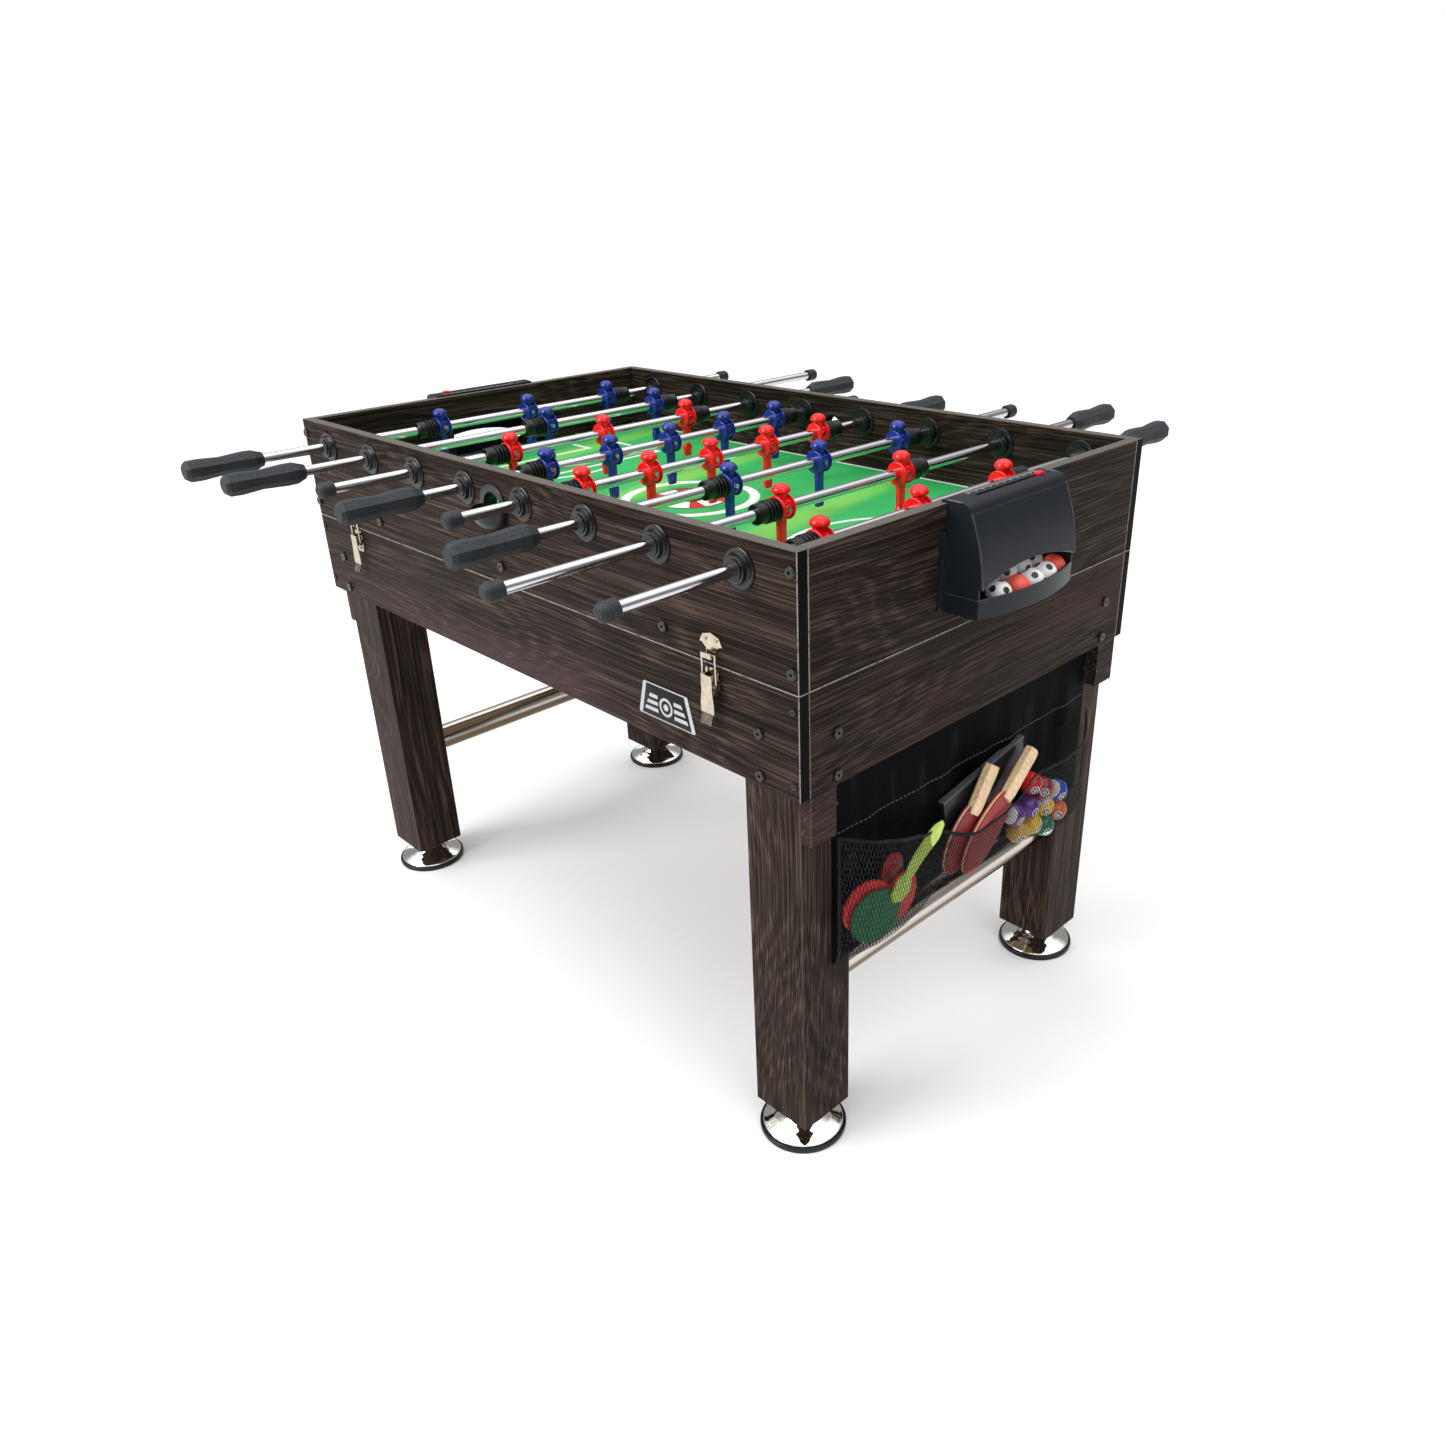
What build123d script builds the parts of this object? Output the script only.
"""Foosball table. Every kind of piece is written as one STEP file to parts/.

Frame: X along the table, Y across it, Z up, origin on the floor under the middle.
The near long side is -Y. Rods are numbered from the -X end. All sizes in millimetres.
"""
import os

from build123d import *

os.makedirs("parts", exist_ok=True)

# ------------------------------------------------------------------ overall sizes
table_length = 1219.0        # over the end panels
table_width = 746.0          # over the side panels
rim_height = 913.0           # floor to the top edge of the game box
board = 18.0                 # every laminated board
edge_break = 0.8             # chamfer on board edges

game_box_depth = 173.0       # rim down to the seam with the base frame
apron_depth = 140.0          # seam down to the underside of the aprons
rod_drop = 37.0              # rim down to the rod axes
playfield_drop = 116.5       # rim down to the playing surface

# ------------------------------------------------------------------ playfield
playfield_thickness = 10.0
playfield_gap = 0.3          # all round, to the panels
beam_width = 40.0            # cross beams under the playfield
beam_height = 36.0
beam_spacing = 372.0
goal_width = 180.0
goal_height = 72.0
goal_corner = 12.0

# ------------------------------------------------------------------ legs and feet
leg_x = 98.0
leg_y = 93.0
leg_wall = 15.0
leg_block = 45.0             # glued block that closes the foot of each leg
leg_top_gap = 10.0           # leg top below the seam
floor_gap = 47.5             # floor to the underside of the legs
ear_width = 47.0             # tabs of the end aprons that lap the legs
ear_drop = 71.0
stretcher_radius = 24.3
stretcher_wall = 1.5
stretcher_height = 256.0
foot_radius = 64.5
foot_pad = 8.5               # rubber ring
foot_lip = 4.5               # rubber showing round the steel
foot_top_radius = 20.0
foot_top_gap = 3.5           # steel dome to the underside of the leg
stem_radius = 6.0
stem_length = 34.0           # held inside the leg at rest
leveler_travel = 12.0

# ------------------------------------------------------------------ rods and bearings
rod_radius = 7.95
rod_wall = 1.5
slip = 0.05                  # radial clearance of turned fits
bush_wall = 3.0
bush_lip = 1.5               # thickness of the end collars
bush_lip_rise = 2.0
end_play = 0.2
barrel_wall = 4.0
barrel_gap = 0.2             # barrel in the panel
flange_radius = 25.5
flange_thickness = 3.0
collar_radius = 18.0
outer_collar = 10.0          # outer flange and collar, from the panel
inner_collar = 8.0
bumper_length = 40.0
bumper_radius = 16.0
bumper_neck = 14.5
bumper_groove = 13.0
bumper_sleeve = 15.0         # plain part before the rings
bumper_rings = 4
stop_gap = 0.3               # left between bumper and bearing at the end of a stroke
grip_length = 127.0
grip_skin = 8.0              # rubber past the rod's end
grip_room = 43.0             # grip to bearing at full stroke
cap_radius = 12.0
cap_length = 25.0
cap_skin = 6.0
spin_room = 2.0              # feet of the end rods to the end panels

# men on a rod: (full stroke, room left between end cap and bearing at full stroke)
line_of = {2: (334.0, 17.0), 3: (204.0, 19.0), 5: (86.0, 29.0)}
# rod by rod: (men, side of the grip, place at rest as a share of the half stroke)
rods = (
    (3, -1, 0.373), (2, -1, 0.648), (3, 1, -0.029), (5, -1, 0.583),
    (5, 1, -0.346), (3, -1, 0.780), (2, 1, -0.164), (3, 1, -0.443),
)

# ------------------------------------------------------------------ men
foot_room = 7.5              # feet to the playing surface
hub_radius = 18.0
hub_half = 12.0              # half the width of a man along the rod
hub_disc = 3.0
chest_radius = 12.8
boss_radius = 5.5
boss_reach = 15.0
head_height = 33.0
# (radius, height) up the neck and head to the rim of the crown
head_outline = (
    (9.5, 6.0), (8.2, 13.0), (9.4, 16.0), (10.4, 21.0), (13.2, 21.5), (13.6, 23.5),
    (12.2, 28.0), (8.0, head_height - 1.2),
)
# (thickness, width) of the leg and foot
thigh = (11.5, 14.0)
thigh_drop = 8.0             # rod axis down to the thigh
ankle = (8.0, 11.5)
ankle_rise = 22.0            # above the toe
instep = (10.6, 17.0)
instep_rise = 17.0
toe = (7.4, 15.0)
man_screw_head = 3.4         # radius
man_screw_head_depth = 3.0
man_screw_sunk = 2.0         # screw head below the face of the boss
man_screw_shank = 1.9
man_screw_slot = (1.6, 4.4, 0.9)

# ------------------------------------------------------------------ ball entry
entry_drop = 55.0            # rim down to the hole's centre
entry_hole = 20.0
entry_sleeve_wall = 3.0
entry_flange = 34.5
cup_radius = 35.0
cup_wall = 3.0
cup_mouth_gap = 2.0          # bowl to the edge of the hole

# ------------------------------------------------------------------ ball return
return_width = 214.0
return_wall = 3.0
return_lap = 8.0             # top plate lying on the rim
return_nose = 19.0           # flat top, from the panel outwards
return_reach = 58.0          # panel to the lower front edge
return_front_drop = 101.0    # rim down to the lower front edge
return_arch = 17.0           # rise of the mouth in the middle
return_knee = (21.0, 13.0)   # where the front starts to fall: in from the reach, down from the top
return_bow = (7.5, 53.0)     # a point of the front below the knee, likewise
tray_setback = 4.0           # tray's side corners behind the hood's front
tray_reach = 71.5
tray_rim_drop = 115.0        # rim down to the tray's rim
tray_depth = 26.0
flange_tab = 13.0            # side tabs screwed to the panel
tab_bottom_drop = 137.0
tab_top_drop = 35.0
slot_start = -63.0           # score slot, along Y
slot_end = 88.0
slot_width = 5.0
slot_place = 11.0            # from the panel
marker_gap = 0.1
marker_length = 12.0
marker_width = 9.0
marker_height = 4.0
marker_rest = 77.0

# ------------------------------------------------------------------ latches
latch_place = 463.0          # from the middle, along X
latch_plate = 2.0
pivot_out = 7.0              # lever pivot from the apron's face
pivot_drop = 14.0            # below the seam
pivot_radius = 2.0
crank = 10.0                 # lever pivot to bail pivot
bail_wire = 1.5              # radius
bail_half = 12.0
bail_height = 40.0
lever_plate = 1.5
lever_narrow = 9.8
lever_wide = 12.0
lever_tail = 61.0            # pivot to the lever's tip
ear_half = 8.0
ear_round = 3.8
ear_thickness = 1.5
cheek_half = 6.0
hook_lip = 3.5               # lip above the bail wire's centre
hook_room = 1.4              # bail wire to the lip
hook_metal = 1.8
hook_half = 9.0
strike_wing = (6.0, 12.0)    # bail wire up to the start and the widest part of the fan
strike_screw = (9.5, 9.0)    # across from the middle, down from the top
base_top = 11.0              # base plate above the lever pivot
base_bottom = 27.0           # and below it
base_screw_drop = 21.0
strike_half = 20.5
strike_top = 43.0            # above the seam

# ------------------------------------------------------------------ storage pouch
pouch_side_gap = 8.0         # cloth to the tabs of the end apron
pouch_cloth = 2.5
pouch_gap = 0.6              # cloth to the leg
pouch_bottom = 310.0
pocket_top = 505.0
pocket_low_rim = 462.0       # where the rims sag to between the seams
pocket_reach = 46.0
pocket_seams = (-104.0, 118.0)
pocket_inset = 0.4           # between neighbouring pockets, each side of a seam
pocket_side = 0.45           # depth of a pocket at its seams, as a share of its reach

# ------------------------------------------------------------------ fasteners
bolt_gap = 0.1
bolt_spare = 1.0             # hole deeper than the shank
head_round = 0.45            # shares of the head's height
socket_depth = 0.6
corner_bolt_drop = 24.0      # rim down to the upper corner bolts
corner_bolt_rise = 27.0      # seam up to the lower corner bolts
apron_screw_drops = (21.0, 120.0)    # seam down to each
leg_bolt_drops = (67.0, 125.0)
tab_screw_drops = (39.0, 72.0, 118.0)    # rim down to each
pouch_screw_inset = 6.0
pouch_screw_drop = 38.0      # below the aprons
# head radius, head height, shank radius, length under the head, socket radius
corner_bolt = (7.5, 4.0, 3.0, 40.0, 2.4)
panel_screw = (4.5, 2.5, 2.0, 34.0, 1.6)
tab_screw = (3.2, 1.8, 1.5, 12.0, 1.1)
latch_screw = (2.6, 1.3, 1.4, 12.0, 0.9)

# ------------------------------------------------------------------ places worked out
end_face = table_length / 2
side_face = table_width / 2
end_inner = end_face - board
side_inner = side_face - board
seam = rim_height - game_box_depth
apron_bottom = seam - apron_depth
rod_height = rim_height - rod_drop
playfield_top = rim_height - playfield_drop
foot_reach = rod_height - playfield_top - foot_room
leg_centre_x = end_inner - leg_x / 2
leg_centre_y = side_inner - leg_y / 2
bush_inner_face = side_inner - inner_collar - end_play - bush_lip
bush_outer_face = side_face + outer_collar + end_play + bush_lip
first_rod = end_inner - foot_reach - spin_room
rod_pitch = 2 * first_rod / (len(rods) - 1)
bush_radius = rod_radius + slip + bush_wall
housing_bore = bush_radius + slip
barrel_radius = housing_bore + barrel_wall
pivot_z = seam - pivot_drop
bail_z = pivot_z - crank
hook_z = bail_z + bail_height
strike_screw_z = seam + strike_top - strike_screw[1]
base_screw_z = pivot_z - base_screw_drop
pouch_half = side_inner - ear_width - pouch_side_gap
corners = [(sx, sy) for sx in (-1, 1) for sy in (-1, 1)]


def rod_x(k):
    """Axis of rod k, numbered from 1."""
    return -first_rod + rod_pitch * (k - 1)


def rod_plan(k):
    """Places along Y on rod k at rest: middle, men, grip side, both ends, and the stroke each way."""
    men, side, share = rods[k - 1]
    stroke, cap_room = line_of[men]
    half = stroke / 2
    middle = share * half
    spacing = 2 * (bush_inner_face - stop_gap - half - hub_half - bumper_length) / (men - 1)
    places = [middle + spacing * (i - (men - 1) / 2) for i in range(men)]
    grip_end = middle + side * (bush_outer_face + half + grip_room + grip_length)
    cap_end = middle - side * (bush_outer_face + half + cap_room + cap_length)
    return middle, places, side, grip_end, cap_end, (-half - middle, half - middle)


def block(x, y, z):
    """Box between pairs of limits."""
    size = [b - a for a, b in (x, y, z)]
    return Pos(x[0], y[0], z[0]) * Box(*size, align=(Align.MIN,) * 3)


def board_block(x, y, z):
    """Box with broken edges."""
    solid = block(x, y, z)
    return chamfer(solid.edges(), edge_break)


def turned(points, axis=Axis.Y):
    """Outline of (radius, place) points turned about the Y or Z axis."""
    flat = make_face(Polyline(*points, close=True))
    if axis == Axis.Z:
        flat = Plane.XZ * flat
    return revolve(flat, axis)


def rod_along(x, z, y0, y1, radius):
    """Cylinder parallel to Y."""
    solid = Cylinder(radius, abs(y1 - y0), rotation=(90, 0, 0))
    return Pos(x, (y0 + y1) / 2, z) * solid


def half_turn(solids):
    """The same pieces at the other end or side of the table."""
    return [Rot(0, 0, 180) * s for s in solids]


def write(node, solids):
    """One STEP file with every solid of the node."""
    whole = Compound(children=[s for shape in solids for s in shape.solids()])
    whole.label = node
    export_step(whole, f"parts/{node}.step")


# ------------------------------------------------------------------ fasteners
def face_plane(place, outward):
    """Plane on a face, with its Z pointing out of the material."""
    return Plane(origin=place, z_dir=outward)


def bolt_solid(place, outward, size):
    """Pan head with a hexagon socket and a plain shank, seated on a face."""
    head_r, head_h, shank_r, length, socket_r = size
    head = Cylinder(head_r, head_h, align=(Align.CENTER, Align.CENTER, Align.MIN))
    rim = head.edges().filter_by(GeomType.CIRCLE).sort_by(Axis.Z)[-1]
    head = fillet(rim, head_h * head_round)
    shank = Cylinder(shank_r, length, align=(Align.CENTER, Align.CENTER, Align.MAX))
    socket = Pos(0, 0, head_h) * extrude(RegularPolygon(socket_r, 6), -head_h * socket_depth)
    return face_plane(place, outward) * (head + shank - socket)


def bolt_hole(place, outward, size):
    """Hole for the shank, a little deeper than the shank is long."""
    depth = size[3] + bolt_spare
    hole = Cylinder(size[2] + bolt_gap, depth, align=(Align.CENTER, Align.CENTER, Align.MAX))
    return face_plane(place, outward) * hole


def bolt_places():
    """Every dark bolt and screw of the cabinet: place on the face, outward direction, size."""
    found = []
    edge_x = end_face - board / 2
    for sx, sy in corners:
        side = (0, sy, 0)
        end = (sx, 0, 0)
        for z in (rim_height - corner_bolt_drop, seam + corner_bolt_rise):
            found.append(((sx * edge_x, sy * side_face, z), side, corner_bolt))
        for drop in apron_screw_drops:
            found.append(((sx * edge_x, sy * side_face, seam - drop), side, panel_screw))
        for drop in leg_bolt_drops:
            found.append(((sx * leg_centre_x, sy * side_face, seam - drop), side, corner_bolt))
            found.append(((sx * end_face, sy * leg_centre_y, seam - drop), end, corner_bolt))
    beam_z = playfield_top - playfield_thickness - beam_height / 2
    for x in (-beam_spacing, 0, beam_spacing):
        for sy in (-1, 1):
            found.append(((x, sy * side_face, beam_z), (0, sy, 0), corner_bolt))
    tab_y = return_width / 2 + flange_tab / 2
    for sx, sy in corners:
        for drop in tab_screw_drops:
            place = (sx * (end_face + return_wall), sy * tab_y, rim_height - drop)
            found.append((place, (sx, 0, 0), tab_screw))
    for sy in (-1, 1):
        y, z = sy * (pouch_half - pouch_screw_inset), apron_bottom - pouch_screw_drop
        place = (end_inner + pouch_gap + pouch_cloth, y, z)
        found.append((place, (1, 0, 0), tab_screw))
    return found


def latch_screw_places():
    """Bright screws through the latch plates."""
    found = []
    across = strike_screw[0]
    for sx, sy in corners:
        y = sy * (side_face + latch_plate)
        for dx, z in ((-across, strike_screw_z), (across, strike_screw_z), (0, base_screw_z)):
            found.append(((sx * latch_place + dx, y, z), (0, sy, 0), latch_screw))
    return found


bolts = bolt_places()
latch_screws = latch_screw_places()
holes = [bolt_hole(*b) for b in bolts + latch_screws]


def drilled(solid):
    """The piece with every bolt hole that reaches it."""
    box = solid.bounding_box()
    near = []
    for hole in holes:
        reach = hole.bounding_box()
        apart = any(
            a_max < b_min or b_max < a_min
            for a_min, a_max, b_min, b_max in zip(box.min, box.max, reach.min, reach.max)
        )
        if not apart:
            near.append(hole)
    return solid - near if near else solid


# ------------------------------------------------------------------ cabinet
def upper_side_panels():
    """Long boards of the game box, bored for the bearings and the ball entry."""
    made = []
    for sy in (-1, 1):
        y = sorted((sy * side_inner, sy * side_face))
        panel = board_block((-end_face, end_face), y, (seam, rim_height))
        bores = [
            rod_along(rod_x(k), rod_height, y[0] - 1, y[1] + 1, barrel_radius + barrel_gap)
            for k in range(1, len(rods) + 1)
        ]
        sleeve = entry_hole + entry_sleeve_wall + barrel_gap
        bores.append(rod_along(0, rim_height - entry_drop, y[0] - 1, y[1] + 1, sleeve))
        made.append(drilled(panel - bores))
    return made


def upper_end_panels():
    """End boards between the side boards, with the goal mouths."""
    y = (-side_inner, side_inner)
    panel = board_block((end_inner, end_face), y, (seam, rim_height))
    goal = RectangleRounded(goal_width, goal_height, goal_corner)
    cut = extrude(Plane.YZ * goal, board + 2)
    panel -= Pos(end_inner - 1, 0, playfield_top + goal_height / 2) * cut
    return [drilled(panel), drilled(*half_turn([panel]))]


def playfield():
    """Playing surface board."""
    x, y = end_inner - playfield_gap, side_inner - playfield_gap
    return [block((-x, x), (-y, y), (playfield_top - playfield_thickness, playfield_top))]


def playfield_beams():
    """Cross beams that carry the playfield between the side panels."""
    top = playfield_top - playfield_thickness
    made = []
    for x in (-beam_spacing, 0, beam_spacing):
        span = (x - beam_width / 2, x + beam_width / 2)
        beam = block(span, (-side_inner, side_inner), (top - beam_height, top))
        made.append(drilled(beam))
    return made


def lower_side_aprons():
    """Long boards of the base frame."""
    made = []
    for sy in (-1, 1):
        y = sorted((sy * side_inner, sy * side_face))
        made.append(drilled(board_block((-end_face, end_face), y, (apron_bottom, seam))))
    return made


def lower_end_aprons():
    """End boards of the base frame, with a tab at each end that laps the leg."""
    inner = side_inner - ear_width
    ear_bottom = apron_bottom - ear_drop
    outline = Polyline(
        (-side_inner, ear_bottom), (-inner, ear_bottom), (-inner, apron_bottom),
        (inner, apron_bottom), (inner, ear_bottom), (side_inner, ear_bottom),
        (side_inner, seam), (-side_inner, seam), close=True,
    )
    solid = Pos(end_inner, 0, 0) * extrude(Plane.YZ * make_face(outline), board)
    solid = chamfer(solid.edges(), edge_break)
    return [drilled(solid), drilled(*half_turn([solid]))]


def legs():
    """Hollow square legs with a solid block at the foot, bored for the leveler stem."""
    made = []
    for sx, sy in corners:
        cx, cy = sx * leg_centre_x, sy * leg_centre_y
        x, y = (cx - leg_x / 2, cx + leg_x / 2), (cy - leg_y / 2, cy + leg_y / 2)
        leg = board_block(x, y, (floor_gap, seam - leg_top_gap))
        hollow_x = (x[0] + leg_wall, x[1] - leg_wall)
        hollow_y = (y[0] + leg_wall, y[1] - leg_wall)
        leg -= block(hollow_x, hollow_y, (floor_gap + leg_block, seam))
        bore = Cylinder(stem_radius + slip, leg_block + 2)
        leg -= Pos(cx, cy, floor_gap + leg_block / 2) * bore
        made.append(drilled(leg))
    return made


def leg_stretchers():
    """Round tubes between the legs at each end."""
    reach = leg_centre_y - leg_y / 2
    made = []
    for sx in (-1, 1):
        x = sx * leg_centre_x
        tube = rod_along(x, stretcher_height, -reach, reach, stretcher_radius)
        bore = stretcher_radius - stretcher_wall
        made.append(tube - rod_along(x, stretcher_height, -reach - 1, reach + 1, bore))
    return made


def leveler(sx, sy):
    """Steel dome with a threaded stem, standing in a rubber ring."""
    rim = foot_radius - foot_lip
    top = floor_gap - foot_top_gap
    dome_edge = Line((rim, foot_pad - 3), (rim, foot_pad + 1))
    crown = Spline(
        (rim, foot_pad + 1), (rim * 0.62, foot_pad + 13), (foot_top_radius, top),
        tangents=((-1, 0.5), (-0.6, 1)),
    )
    stem_top = floor_gap + stem_length
    back = Polyline(
        (foot_top_radius, top), (stem_radius, top), (stem_radius, stem_top), (0, stem_top),
        (0, foot_pad - 3), (rim, foot_pad - 3),
    )
    dome = revolve(Plane.XZ * make_face(dome_edge + crown + back), Axis.Z)
    pad = turned(
        [(0, 0), (foot_radius, 0), (foot_radius, foot_pad), (rim, foot_pad),
         (rim, foot_pad - 3), (0, foot_pad - 3)], Axis.Z,
    )
    place = Pos(sx * leg_centre_x, sy * leg_centre_y, 0)
    return [place * dome, place * pad]


# ------------------------------------------------------------------ rods
def bearing_pair(x):
    """Flanged housings through both side panels, each with a ring nut inside."""
    y0, y1 = side_inner - inner_collar, side_face + outer_collar
    nut_bore = barrel_radius + slip
    outer_flange = side_face + flange_thickness
    housing = turned([
        (housing_bore, y0), (barrel_radius, y0), (barrel_radius, side_face),
        (flange_radius, side_face), (flange_radius, outer_flange - 1),
        (flange_radius - 1.5, outer_flange), (collar_radius + 2, outer_flange),
        (collar_radius, outer_flange + 2), (collar_radius - 1, y1), (housing_bore, y1),
    ])
    inner_flange = side_inner - flange_thickness
    nut = turned([
        (nut_bore, side_inner), (flange_radius, side_inner), (flange_radius, inner_flange + 1),
        (flange_radius - 1.5, inner_flange), (collar_radius, inner_flange),
        (collar_radius - 1, y0), (nut_bore, y0),
    ])
    far = [Pos(x, 0, rod_height) * s for s in (housing, nut)]
    near = [Pos(x, 0, rod_height) * Rot(0, 0, 180) * s for s in (housing, nut)]
    return far + near


def bushes(x):
    """Inner sleeves that turn in the housings, with a collar at each end."""
    bore = rod_radius + slip
    y0, y1 = side_inner - inner_collar - end_play, side_face + outer_collar + end_play
    lip = bush_radius + bush_lip_rise
    sleeve = turned([
        (bore, bush_inner_face), (lip, bush_inner_face), (lip, y0), (bush_radius, y0),
        (bush_radius, y1), (lip, y1), (lip, bush_outer_face), (bore, bush_outer_face),
    ])
    return [Pos(x, 0, rod_height) * Rot(0, 0, turn) * sleeve for turn in (0, 180)]


def man_blank():
    """One man on the Y axis, head up: turned head, drum with two discs, tapered leg and foot."""
    drum = rod_along(0, 0, -hub_half, hub_half, chest_radius)
    for sy in (-1, 1):
        drum += rod_along(0, 0, sy * hub_half, sy * (hub_half - hub_disc), hub_radius)
    boss = Cylinder(boss_radius, boss_reach, align=(Align.CENTER, Align.CENTER, Align.MIN))
    drum += Rot(0, 90, 0) * boss
    top = [(0, head_outline[0][1]), *head_outline, (0, head_height)]
    head = turned(top, Axis.Z)
    heel = -foot_reach
    leg = loft([
        Pos(0, 0, z) * Rectangle(*size)
        for z, size in ((-thigh_drop, thigh), (heel + ankle_rise, ankle))
    ])
    foot = loft([
        Pos(0, 0, z) * Rectangle(*size)
        for z, size in ((heel + ankle_rise, ankle), (heel + instep_rise, instep), (heel, toe))
    ], ruled=True)
    body = drum + head + leg + foot
    body -= rod_along(0, 0, -hub_half - 1, hub_half + 1, rod_radius + slip)
    return body - man_screw_space()


def man_screw(head_r, shank_r, head_start, inner):
    """Stepped cylinder along X at the front of a man's chest."""
    start = (Align.CENTER, Align.CENTER, Align.MIN)
    head = Pos(head_start, 0, 0) * Rot(0, 90, 0) * Cylinder(head_r, man_screw_head_depth, align=start)
    shank = Pos(inner, 0, 0) * Rot(0, 90, 0) * Cylinder(shank_r, head_start - inner, align=start)
    return head + shank


def man_screw_space():
    """Countersunk hole for the screw, down to the rod's wall."""
    gap = bolt_gap
    start = boss_reach - man_screw_sunk
    return man_screw(man_screw_head + gap, man_screw_shank + gap, start - gap, 0)


def rod_steel(k):
    """Polished tube and the screws that pin the men to it."""
    _, places, side, grip_end, cap_end, _ = rod_plan(k)
    ends = (grip_end - side * grip_skin, cap_end + side * cap_skin)
    tube = rod_along(0, 0, *ends, rod_radius)
    tube -= rod_along(0, 0, ends[0] + side, ends[1] - side, rod_radius - rod_wall)
    hole = man_screw_space()
    tube -= [Pos(0, y, 0) * hole for y in places]
    start = boss_reach - man_screw_sunk
    screw = man_screw(man_screw_head, man_screw_shank, start, rod_radius - rod_wall)
    slot = Pos(start + man_screw_head_depth, 0, 0) * Box(*man_screw_slot)
    screws = [Pos(0, y, 0) * (screw - slot) for y in places]
    return [Pos(rod_x(k), 0, rod_height) * s for s in [tube] + screws]


def bumper():
    """Rubber buffer from y = 0 outwards along +Y, rings next to the man."""
    points = [(rod_radius + slip, 0)]
    ring = (bumper_length - bumper_sleeve) / bumper_rings
    for i in range(bumper_rings):
        y = i * ring
        points += [
            (bumper_radius - 1, y), (bumper_radius, y + ring * 0.2),
            (bumper_radius, y + ring * 0.6), (bumper_groove, y + ring * 0.75),
            (bumper_groove, y + ring),
        ]
    y = bumper_length - bumper_sleeve
    points += [
        (bumper_neck, y), (bumper_neck, bumper_length - 1.5), (bumper_neck - 1.5, bumper_length),
        (rod_radius + slip, bumper_length),
    ]
    return turned(points)


def grip():
    """Eight-sided hand grip from y = 0 at its free end to its full length, bored for the rod."""
    stations = (
        (0.0, 11.5), (6.0, 16.0), (24.0, 16.6), (58.0, 14.2), (96.0, 16.4), (112.0, 16.0),
        (grip_length - 4, 12.0), (grip_length, 11.0),
    )
    rings = [
        Plane.XZ.offset(-y) * Rot(0, 0, 22.5) * RegularPolygon(flat, 8, major_radius=False)
        for y, flat in stations
    ]
    body = loft(rings, ruled=True)
    return body - rod_along(0, 0, grip_skin, grip_length + 1, rod_radius + slip)


def end_cap():
    """Domed cap from y = 0 at its closed end."""
    bore = rod_radius + slip
    return turned([
        (0, 0), (7, 0.6), (10.6, 3), (cap_radius, 7), (cap_radius, cap_length - 1),
        (cap_radius - 1, cap_length), (bore, cap_length), (bore, cap_skin), (0, cap_skin),
    ])


def rod_rubber(k):
    """Grip, end cap and the two bumpers of one rod."""
    _, places, side, grip_end, cap_end, _ = rod_plan(k)
    turn = {1: Rot(0, 0, 180), -1: Rot(0, 0, 0)}
    pieces = [
        Pos(0, grip_end, 0) * turn[side] * grip(),
        Pos(0, cap_end, 0) * turn[-side] * end_cap(),
        Pos(0, places[0] - hub_half, 0) * Rot(0, 0, 180) * bumper(),
        Pos(0, places[-1] + hub_half, 0) * bumper(),
    ]
    return [Pos(rod_x(k), 0, rod_height) * s for s in pieces]


# ------------------------------------------------------------------ ball entry and return
def ball_entry_cups():
    """Flanged sleeve through each side panel with a quarter-bowl below its mouth."""
    z = rim_height - entry_drop
    outer = entry_hole + entry_sleeve_wall
    sleeve = turned([
        (entry_hole, side_inner), (outer, side_inner), (outer, side_face),
        (entry_flange, side_face), (entry_flange, side_face + flange_thickness - 1),
        (entry_flange - 1, side_face + flange_thickness),
        (entry_hole + 3, side_face + flange_thickness), (entry_hole, side_face + 1),
    ])
    bowl = Sphere(cup_radius) - Sphere(cup_radius - cup_wall)
    r = cup_radius
    keep = block((-r, r), (0, r), (-r, 0))
    bowl = Pos(0, side_face, 0) * (bowl & keep)
    bowl -= rod_along(0, 0, side_face - 1, side_face + flange_thickness, entry_hole + cup_mouth_gap)
    far = Pos(0, 0, z) * (sleeve + bowl)
    return [far] + half_turn([far])


def return_outline(inset):
    """Side view of the hood: (distance from the panel, height), drawn in by the wall."""
    top = rim_height + return_wall - inset
    nose = return_nose
    front = return_reach - inset
    low = rim_height - return_front_drop
    knee = (end_face + front - return_knee[0], top - return_knee[1])
    bow = (end_face + front - return_bow[0], top - return_bow[1])
    return (
        Polyline((end_face, low), (end_face, top), (end_face + nose, top))
        + ThreePointArc((end_face + nose, top), (knee[0] - 4, top - 4.2), knee)
        + ThreePointArc(knee, bow, (end_face + front, low))
        + Line((end_face + front, low), (end_face, low))
    )


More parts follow.
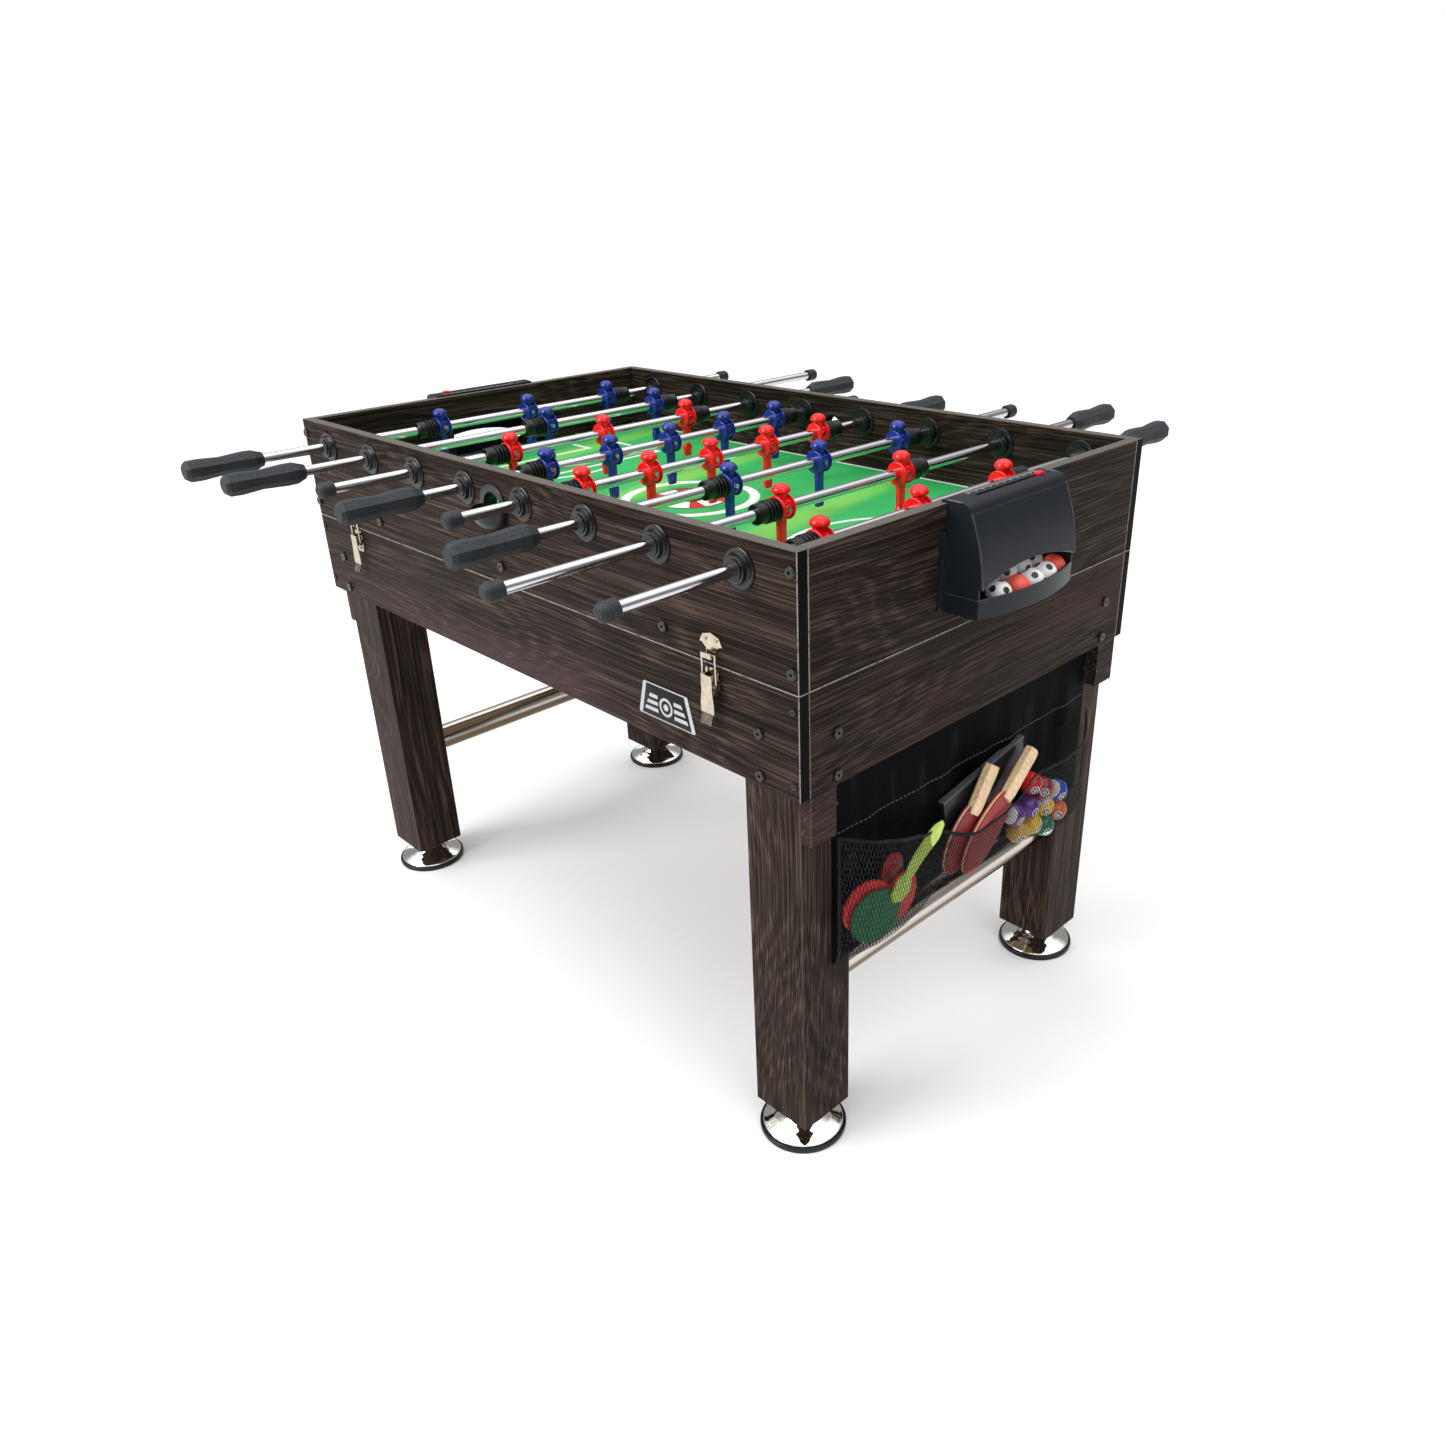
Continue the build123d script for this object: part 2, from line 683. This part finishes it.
def ball_return():
    """Moulded hood over the goal with an open tray under its arched front edge."""
    half = return_width / 2
    outer = extrude(Plane.XZ * make_face(return_outline(0)), half, both=True)
    inner = extrude(Plane.XZ * make_face(return_outline(return_wall)), half - return_wall, both=True)
    low = rim_height - return_front_drop
    hood = outer - inner
    hood -= block((end_face - 1, end_face + 1.5), (-half + return_wall, half - return_wall),
                  (low - 1, rim_height - return_wall))
    chord = half - return_wall
    arch_radius = (chord ** 2 + return_arch ** 2) / (2 * return_arch)
    arch = Cylinder(arch_radius, 200, rotation=(0, 90, 0))
    arch = Pos(end_face + 5 + 100, 0, low + return_arch - arch_radius) * arch
    hood -= arch & block((end_face + 5, end_face + 90), (-chord, chord), (low - 40, low + 40))

    rim, floor = rim_height - tray_rim_drop, rim_height - tray_rim_drop - tray_depth
    side_reach = return_reach - tray_setback

    def plan(inset):
        """Tray seen from above: straight back, bowed front."""
        y = half - inset
        side, front = end_face + side_reach - inset, end_face + tray_reach - inset
        return make_face(
            Polyline((side, -y), (end_face, -y), (end_face, y), (side, y))
            + ThreePointArc((side, y), (front, 0), (side, -y))
        )

    tray = Pos(0, 0, floor) * extrude(plan(0), tray_depth)
    tray -= Pos(0, 0, floor + return_wall) * extrude(plan(return_wall), tray_depth)
    side_walls = [
        block((end_face, end_face + side_reach), sorted((sy * (half - return_wall), sy * half)),
              (rim - 1, low + 1))
        for sy in (-1, 1)
    ]
    tab_z = (rim_height - tab_bottom_drop, rim_height - tab_top_drop)
    tabs = [
        block((end_face, end_face + return_wall), sorted((sy * half, sy * (half + flange_tab))), tab_z)
        for sy in (-1, 1)
    ]
    lap = block((end_face - return_lap, end_face + 1), (-half, half),
                (rim_height, rim_height + return_wall))
    whole = hood + tray + side_walls + tabs + lap
    whole -= [
        block((end_face - 1, end_face + return_wall + 1), (-goal_width / 2, goal_width / 2),
              (floor + return_wall, rim))
    ]
    slot_mid = (slot_start + slot_end) / 2
    slot = SlotOverall(slot_end - slot_start, slot_width, rotation=90)
    slot = extrude(slot, 4 * return_wall, both=True)
    whole -= Pos(end_face + slot_place, slot_mid, rim_height) * slot
    return drilled(whole)


def score_marker():
    """Slider in the score slot: cap above the plate, neck in the slot, foot below."""
    neck = slot_width - 2 * marker_gap
    top, bottom = rim_height + return_wall + marker_gap, rim_height - marker_gap
    cap = block((-marker_width / 2, marker_width / 2), (-marker_length / 2, marker_length / 2),
                (top, top + marker_height))
    cap = chamfer(cap.edges().group_by(Axis.Z)[-1], 1.2)
    stem = block((-neck / 2, neck / 2), (-neck / 2, neck / 2), (bottom, top))
    foot = block((-marker_width / 2, marker_width / 2), (-marker_length / 2, marker_length / 2),
                 (bottom - 1.5, bottom))
    return Pos(end_face + slot_place, marker_rest, 0) * (cap + stem + foot)


# ------------------------------------------------------------------ latches
out = side_face


def out_block(x, v, z):
    """Box on the far side face: x and height limits, v measured out from the face."""
    return block(x, (out + v[0], out + v[1]), z)


def latch_strike():
    """Fan-shaped plate on the game box, bent out into a hook with an upturned lip."""
    low = hook_z - bail_wire - slip - hook_metal
    start, wide = hook_z + strike_wing[0], hook_z + strike_wing[1]
    top = seam + strike_top
    half = [(hook_half, low), (hook_half, start), (strike_half - 4, start + 6),
            (strike_half, wide), (strike_half - 6, top - 4)]
    outline = half + [(0, top)] + [(-x, z) for x, z in reversed(half)]
    face = make_face(Polyline(*outline, close=True))
    plate = extrude(Plane.XZ.offset(-out) * face, -latch_plate)
    lip = pivot_out + bail_wire + hook_room
    shelf = out_block((-hook_half, hook_half), (0, lip + hook_metal), (low, low + hook_metal))
    hook = out_block((-hook_half, hook_half), (lip, lip + hook_metal), (low, hook_z + hook_lip))
    plate = plate + shelf + hook
    for x in (-strike_screw[0], strike_screw[0]):
        plate -= bolt_hole((x, out + latch_plate, strike_screw_z), (0, 1, 0), latch_screw)
    return plate


def latch_base():
    """Plate on the apron with two ears and the lever's pivot pin."""
    span = (pivot_z - base_bottom, pivot_z + base_top)
    plate = out_block((-lever_wide, lever_wide), (0, latch_plate), span)
    plate = chamfer(plate.edges().filter_by(Axis.Y), 3)
    for s in (-1, 1):
        span = sorted((s * ear_half, s * (ear_half + ear_thickness)))
        plate += out_block(span, (0, pivot_out), (pivot_z - ear_round, pivot_z + ear_round))
        disc = Cylinder(ear_round, ear_thickness, rotation=(0, 90, 0))
        plate += Pos(sum(span) / 2, out + pivot_out, pivot_z) * disc
    pin = Cylinder(pivot_radius, 2 * (ear_half + ear_thickness), rotation=(0, 90, 0))
    plate += Pos(0, out + pivot_out, pivot_z) * pin
    plate -= bolt_hole((0, out + latch_plate, base_screw_z), (0, 1, 0), latch_screw)
    return plate


def latch_lever():
    """Finger plate with two cheeks on the pivot pin and a stub each side for the bail."""
    inner = out + pivot_out + 4
    outline = Polyline(
        (-lever_narrow, pivot_z + 4.3), (lever_narrow, pivot_z + 4.3),
        (lever_narrow, bail_z - 8), (lever_wide, bail_z - 24), (lever_wide, pivot_z - lever_tail + 14),
        (-lever_wide, pivot_z - lever_tail + 14), (-lever_wide, bail_z - 24),
        (-lever_narrow, bail_z - 8), close=True,
    )
    lever = extrude(Plane.XZ.offset(-inner) * make_face(outline), -lever_plate)
    tail_z = pivot_z - lever_tail
    side = Polyline(
        (inner, tail_z + 14), (inner + lever_plate, tail_z + 14),
        (inner + lever_plate + 4.5, tail_z), (inner + 4.5, tail_z), close=True,
    )
    lever += extrude(Plane.YZ * make_face(side), lever_wide - 2, both=True)
    for s in (-1, 1):
        mid = s * (cheek_half + ear_thickness / 2)
        cheek = Cylinder(4.2, ear_thickness, rotation=(0, 90, 0))
        lever += Pos(mid, out + pivot_out, pivot_z) * cheek
        lever += Pos(mid, out + pivot_out, bail_z) * cheek
        span = sorted((s * cheek_half, s * (cheek_half + ear_thickness)))
        lever += out_block(span, (pivot_out - 4.2, pivot_out + 4.2), (bail_z, pivot_z))
        stub = rod_stub(cheek_half, bail_half + 2.2) if s > 0 else rod_stub(-bail_half - 2.2, -cheek_half)
        lever += Pos(0, out + pivot_out, bail_z) * stub
    bore = Cylinder(pivot_radius + slip, 40, rotation=(0, 90, 0))
    return lever - Pos(0, out + pivot_out, pivot_z) * bore


def rod_stub(x0, x1):
    """Short pin along X for a bail eye."""
    return Pos((x0 + x1) / 2, 0, 0) * Cylinder(1.5, x1 - x0, rotation=(0, 90, 0))


def latch_bail():
    """Wire loop: an eye on each lever stub, two legs and a cross bar behind the hook."""
    made = None
    for s in (-1, 1):
        eye = Cylinder(3.3, 2.6, rotation=(0, 90, 0))
        leg = Cylinder(bail_wire, bail_height, align=(Align.CENTER, Align.CENTER, Align.MIN))
        piece = Pos(s * bail_half, 0, 0) * (eye + leg)
        made = piece if made is None else made + piece
    bar = Cylinder(bail_wire, 2 * bail_half, rotation=(0, 90, 0))
    made += Pos(0, 0, bail_height) * bar
    for s in (-1, 1):
        made += Pos(s * bail_half, 0, bail_height) * Sphere(bail_wire)
    made -= Cylinder(1.5 + slip, 60, rotation=(0, 90, 0))
    return Pos(0, out + pivot_out, bail_z) * made


# ------------------------------------------------------------------ storage pouch
def storage_pouch():
    """Hanging backing cloth with three open pockets that bulge outwards."""
    back = end_inner + pouch_gap
    face = back + pouch_cloth
    whole = block((back, face), (-pouch_half, pouch_half), (pouch_bottom, apron_bottom))
    seams = (-pouch_half, *pocket_seams, pouch_half)
    height = pocket_top - pouch_bottom
    for y0, y1 in zip(seams, seams[1:]):
        belly = (y1 - y0) / 2

        def plan(inset, reach):
            """Pocket from above: flat on the backing, bowed out in front."""
            a, b = y0 + inset, y1 - inset
            return make_face(
                Line((face, b), (face, a))
                + Polyline((face, a), (face + reach * pocket_side, a))
                + ThreePointArc((face + reach * pocket_side, a), (face + reach, (a + b) / 2),
                                (face + reach * pocket_side, b))
                + Line((face + reach * pocket_side, b), (face, b))
            )

        pocket = Pos(0, 0, pouch_bottom) * extrude(plan(pocket_inset, pocket_reach), height)
        pocket -= Pos(0, 0, pouch_bottom + pouch_cloth) * extrude(
            plan(pocket_inset + pouch_cloth, pocket_reach - pouch_cloth), height)
        sag = pocket_top - pocket_low_rim
        scoop_radius = (belly ** 2 + sag ** 2) / (2 * sag)
        scoop = Cylinder(scoop_radius, 2 * pocket_reach, rotation=(0, 90, 0))
        scoop = Pos(face + 0.5 + pocket_reach, (y0 + y1) / 2, pocket_low_rim + scoop_radius) * scoop
        whole += pocket - scoop
    return drilled(whole)


# ------------------------------------------------------------------ write the pieces
write("upper_side_panels", upper_side_panels())
write("upper_end_panels", upper_end_panels())
write("playfield", playfield())
write("playfield_beams", playfield_beams())
write("lower_side_aprons", lower_side_aprons())
write("lower_end_aprons", lower_end_aprons())
write("legs", legs())
write("leg_stretchers", leg_stretchers())
for number, (sx, sy) in enumerate(corners, 1):
    write(f"leveler_{number}", leveler(sx, sy))

numbers = range(1, len(rods) + 1)
write("rod_bearings", [s for k in numbers for s in bearing_pair(rod_x(k))])
man = man_blank()
for k in numbers:
    write(f"rod_{k}_bushes", bushes(rod_x(k)))
    write(f"rod_{k}_steel", rod_steel(k))
    write(f"rod_{k}_rubber", rod_rubber(k))
    write(f"rod_{k}_men", [Pos(rod_x(k), y, rod_height) * man for y in rod_plan(k)[1]])

write("ball_entry_cups", ball_entry_cups())
right_return = ball_return()
write("ball_returns", [right_return] + half_turn([right_return]))
right_marker = score_marker()
write("score_marker_right", [right_marker])
write("score_marker_left", half_turn([right_marker]))

latch_sites = [Pos(sx * latch_place, 0, 0) for sx in (-1, 1)]
plates = [site * s for site in latch_sites for s in (latch_strike(), latch_base())]
screws = [bolt_solid(*b) for b in latch_screws]
write("latch_plates", plates + half_turn(plates) + screws)
lever, bail = latch_lever(), latch_bail()
for number, (sx, sy) in enumerate(corners, 1):
    turn = Rot(0, 0, 0) if sy > 0 else Rot(0, 0, 180)
    place = turn * Pos(sx * sy * latch_place, 0, 0)
    write(f"latch_lever_{number}", [place * lever])
    write(f"latch_bail_{number}", [place * bail])

write("storage_pouch", [storage_pouch()])
write("fasteners", [bolt_solid(*b) for b in bolts])
